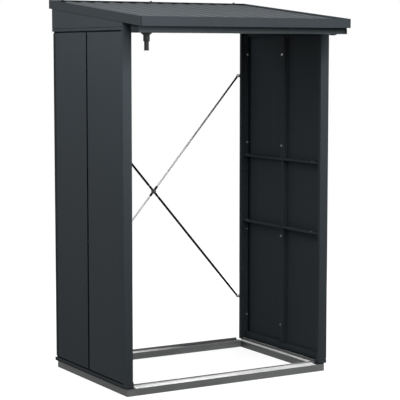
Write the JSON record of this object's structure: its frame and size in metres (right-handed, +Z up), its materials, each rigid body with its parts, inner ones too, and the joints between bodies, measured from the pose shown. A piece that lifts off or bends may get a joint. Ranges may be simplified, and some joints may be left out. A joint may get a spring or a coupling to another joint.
{
  "type": "log store",
  "caption": "Open-fronted sheet-steel log store with ribbed lean-to roof, front gutter with hose spout, aluminium base frame and rear cross brace.",
  "frame": {"origin": "on the ground, under the middle of the roof's plan", "axes": "+Z up, +X to the right seen from the open front, +Y to the back"},
  "size_m": [1.23, 1.037, 1.99],
  "materials": {
    "wall_steel": "satin anthracite coating",
    "trim_steel": "satin anthracite coating",
    "gutter_steel": "satin anthracite coating",
    "roof_steel": "satin grey coating",
    "base_aluminium": "mill finish",
    "brace_steel": "plated",
    "black_plastic": "moulded black"
  },
  "bodies": {
    "root": {"back_beam": "wall_steel", "back_trim": "trim_steel", "base_back_rail": "base_aluminium", "base_front_rail": "base_aluminium", "brace_ring": "brace_steel", "front_beam": "wall_steel", "front_fascia": "trim_steel", "gutter": "gutter_steel", "hose_spout": "black_plastic", "left_back_panel": "wall_steel", "left_back_post": "wall_steel", "left_base_rail": "base_aluminium", "left_foot_bracket": "wall_steel", "left_foot_rail": "wall_steel", "left_front_panel": "wall_steel", "left_front_post": "wall_steel", "left_gable": "wall_steel", "left_gutter_end": "gutter_steel", "left_head_rail": "wall_steel", "left_lower_brace_rod": "brace_steel", "left_lower_brace_tab": "wall_steel", "left_lower_tie_rail": "wall_steel", "left_upper_brace_rod": "brace_steel", "left_upper_brace_tab": "wall_steel", "left_upper_tie_rail": "wall_steel", "left_verge": "trim_steel", "right_back_panel": "wall_steel", "right_back_post": "wall_steel", "right_base_rail": "base_aluminium", "right_foot_bracket": "wall_steel", "right_foot_rail": "wall_steel", "right_front_panel": "wall_steel", "right_front_post": "wall_steel", "right_gable": "wall_steel", "right_gutter_end": "gutter_steel", "right_head_rail": "wall_steel", "right_lower_brace_rod": "brace_steel", "right_lower_brace_tab": "wall_steel", "right_lower_tie_rail": "wall_steel", "right_upper_brace_rod": "brace_steel", "right_upper_brace_tab": "wall_steel", "right_upper_tie_rail": "wall_steel", "right_verge": "trim_steel", "roof_sheet": "roof_steel"}
  },
  "joints": []
}
